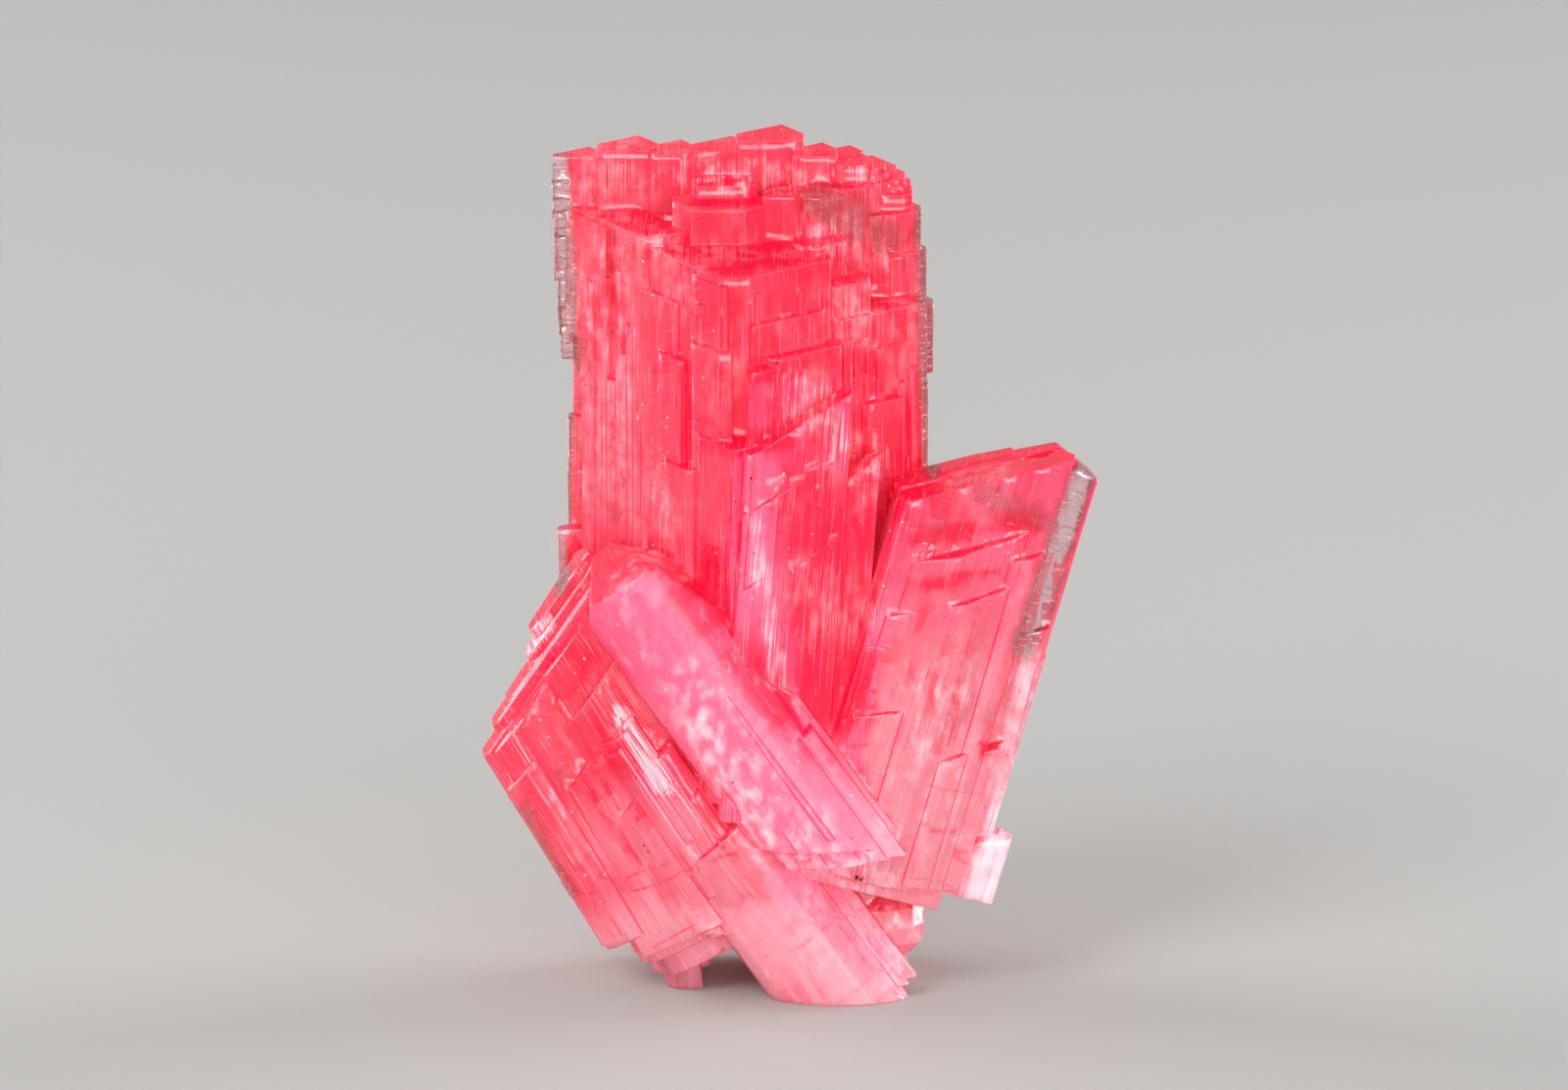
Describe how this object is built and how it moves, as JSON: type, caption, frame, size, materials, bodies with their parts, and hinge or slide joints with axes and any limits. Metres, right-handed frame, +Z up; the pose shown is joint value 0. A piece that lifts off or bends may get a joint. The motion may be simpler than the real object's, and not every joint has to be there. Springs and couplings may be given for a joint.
{
  "type": "rhodonite crystal specimen",
  "caption": "Upright cluster of see-through pink-red rhodonite crystals with stepped flat faces, leaning side crystals and a flat cut base to stand on.",
  "frame": {"origin": "middle of the specimen's box at the level of the flat cut that it stands on", "axes": "+Z up along the broad upright crystal, +X to the right towards the tip of the right-leaning crystal, +Y to the back"},
  "size_m": [0.021, 0.0106, 0.0294],
  "materials": {
    "rhodonite": "see-through pink-red crystal with glassy flat faces, fine lengthwise striations and milky, salmon and deep red zones"
  },
  "bodies": {
    "root": {"rhodonite_cluster": "rhodonite"}
  },
  "joints": []
}
